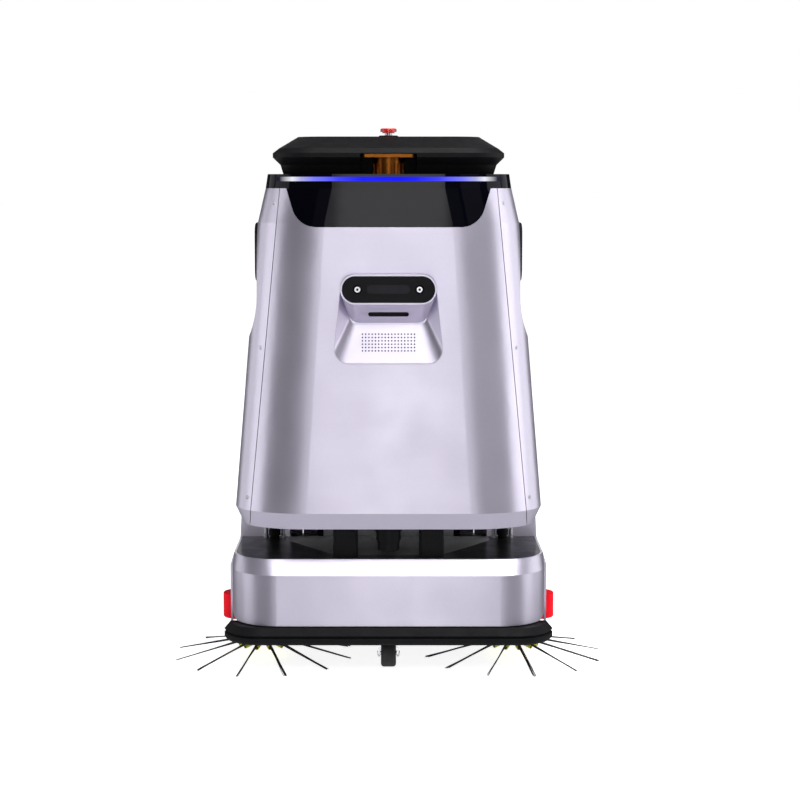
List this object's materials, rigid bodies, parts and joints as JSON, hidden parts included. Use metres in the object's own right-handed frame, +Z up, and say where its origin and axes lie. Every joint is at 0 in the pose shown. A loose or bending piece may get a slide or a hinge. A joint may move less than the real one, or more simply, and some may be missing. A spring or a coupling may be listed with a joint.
{
  "type": "robotic floor cleaner",
  "caption": "Free-standing commercial floor-cleaning robot with side brushes, scrub roller, squeegee, front bumper, scanners, rear service door and waste bin.",
  "frame": {"origin": "on the floor, under the middle of the machine's overall box", "axes": "+Z up, the front faces -Y, +X to the right of someone looking at the front"},
  "size_m": [0.8267, 0.7431, 1.013],
  "materials": {
    "body_paint": "pearl lavender metallic paint, satin clear coat",
    "black_plastic": "fine-textured moulded black",
    "gloss_black": "polished black",
    "deck_black": "satin black deck",
    "deck_grey": "satin grey plate",
    "bumper_rubber": "satin moulded rubber",
    "tyre_rubber": "dry black",
    "guide_red": "solid red urethane",
    "stop_red": "glossy red",
    "orange_alloy": "orange anodised",
    "steel": "bright turned",
    "chassis_steel": "black powder coat",
    "frame_alloy": "mill finish",
    "led_blue": "lit light strip",
    "lens_glass": "dark coated lens",
    "screen_glass": "black cover glass",
    "hub_yellow": "yellow-green moulding",
    "bristle": "black filament",
    "roller_blue": "blue filament",
    "blade_rubber": "brown gum rubber",
    "tank_white": "translucent white",
    "tank_grey": "smoked grey",
    "motor_black": "black",
    "brass": "bright"
  },
  "bodies": {
    "chassis": {"base_chassis": "chassis_steel", "base_front_shell": "body_paint", "battery": "tank_grey", "body_support_posts": "black_plastic", "camera_bezel": "black_plastic", "camera_optics": "lens_glass", "charging_contacts": "brass", "clean_water_tank": "tank_white", "controller": "frame_alloy", "cover_screws": "steel", "deck_center_panel": "deck_grey", "deck_plate": "deck_black", "door_hinge": "steel", "drive_motors": "motor_black", "e_stop_base": "black_plastic", "front_cover": "body_paint", "front_window": "gloss_black", "hood_neck": "black_plastic", "hood_shell": "black_plastic", "led_strip": "led_blue", "left_side_cover": "body_paint", "left_side_pod": "black_plastic", "left_skirt": "body_paint", "low_lidar": "black_plastic", "rear_lower_cover": "body_paint", "recovery_tank": "tank_grey", "right_side_cover": "body_paint", "right_side_pod": "black_plastic", "right_skirt": "body_paint", "sensor_housing": "body_paint", "side_brush_motors": "motor_black", "standoff_posts": "steel", "suction_fan": "black_plastic", "top_lidar": "orange_alloy", "top_rim": "gloss_black", "touch_screen": "screen_glass", "tower_frame": "frame_alloy"},
    "bumper": {"front_bumper": "bumper_rubber", "bumper_rail": "steel"},
    "left_brush": {"left_brush_hub": "hub_yellow", "left_brush_tufts": "bristle"},
    "right_brush": {"right_brush_hub": "hub_yellow", "right_brush_tufts": "bristle"},
    "caster_swivel": {"caster_fork": "steel"},
    "caster_roller": {"caster_wheel": "tyre_rubber"},
    "left_wheel": {"left_drive_tyre": "tyre_rubber", "left_drive_hub": "frame_alloy"},
    "right_wheel": {"right_drive_tyre": "tyre_rubber", "right_drive_hub": "frame_alloy"},
    "left_guide": {"left_guide_roller": "guide_red"},
    "right_guide": {"right_guide_roller": "guide_red"},
    "scrub_deck": {"roller_housing": "black_plastic"},
    "scrub_brush": {"scrub_roller": "roller_blue"},
    "squeegee": {"squeegee_frame": "frame_alloy", "squeegee_blades": "blade_rubber"},
    "door": {"rear_door": "body_paint"},
    "bin": {"waste_bin": "black_plastic"},
    "stop_plunger": {"e_stop_stem": "steel"},
    "stop_head": {"e_stop_head": "stop_red"},
    "power_key": {"power_button": "steel"}
  },
  "joints": [
    {"name": "bumper_slide", "type": "slide", "parent": "chassis", "child": "bumper", "axis": [0, 1, 0], "range_m": [0, 0.008], "stiffness_N_per_m": 2500},
    {"name": "left_brush_spin", "type": "hinge", "parent": "chassis", "child": "left_brush", "pos_m": [-0.2415, -0.198, 0.06], "axis": [0, 0, 1], "continuous": true},
    {"name": "right_brush_spin", "type": "hinge", "parent": "chassis", "child": "right_brush", "pos_m": [0.2415, -0.198, 0.06], "axis": [0, 0, 1], "continuous": true},
    {"name": "caster_swivel_turn", "type": "hinge", "parent": "chassis", "child": "caster_swivel", "pos_m": [0, -0.266, 0.09], "axis": [0, 0, 1], "continuous": true},
    {"name": "caster_wheel_spin", "type": "hinge", "parent": "caster_swivel", "child": "caster_roller", "pos_m": [0, -0.286, 0.026], "axis": [1, 0, 0], "continuous": true},
    {"name": "left_wheel_spin", "type": "hinge", "parent": "chassis", "child": "left_wheel", "pos_m": [-0.235, 0.15, 0.1], "axis": [1, 0, 0], "continuous": true},
    {"name": "right_wheel_spin", "type": "hinge", "parent": "chassis", "child": "right_wheel", "pos_m": [0.235, 0.15, 0.1], "axis": [1, 0, 0], "continuous": true},
    {"name": "left_guide_spin", "type": "hinge", "parent": "chassis", "child": "left_guide", "pos_m": [-0.298, -0.193, 0.1], "axis": [0, 0, 1], "continuous": true},
    {"name": "right_guide_spin", "type": "hinge", "parent": "chassis", "child": "right_guide", "pos_m": [0.298, -0.193, 0.1], "axis": [0, 0, 1], "continuous": true},
    {"name": "scrub_deck_lift", "type": "slide", "parent": "chassis", "child": "scrub_deck", "axis": [0, 0, 1], "range_m": [0, 0.016]},
    {"name": "scrub_brush_spin", "type": "hinge", "parent": "scrub_deck", "child": "scrub_brush", "pos_m": [0, 0.06, 0.0502], "axis": [1, 0, 0], "continuous": true},
    {"name": "squeegee_lift", "type": "hinge", "parent": "chassis", "child": "squeegee", "pos_m": [0, 0.236, 0.108], "axis": [1, 0, 0], "range_deg": [0, 10]},
    {"name": "rear_door_swing", "type": "hinge", "parent": "chassis", "child": "door", "pos_m": [-0.171, 0.353, 0.575], "axis": [0, 0, 1], "range_deg": [0, 110]},
    {"name": "waste_bin_pull", "type": "slide", "parent": "chassis", "child": "bin", "axis": [0, 1, 0], "range_m": [0, 0.19]},
    {"name": "e_stop_press", "type": "slide", "parent": "chassis", "child": "stop_plunger", "axis": [0, 0, -1], "range_m": [0, 0.004], "stiffness_N_per_m": 1500},
    {"name": "e_stop_twist", "type": "hinge", "parent": "stop_plunger", "child": "stop_head", "pos_m": [0, -0.13, 1], "axis": [0, 0, 1], "range_deg": [0, 40], "stiffness_Nm_per_rad": 0.05},
    {"name": "power_button_press", "type": "slide", "parent": "chassis", "child": "power_key", "axis": [0, 0, -1], "range_m": [0, 0.002], "stiffness_N_per_m": 1200}
  ]
}
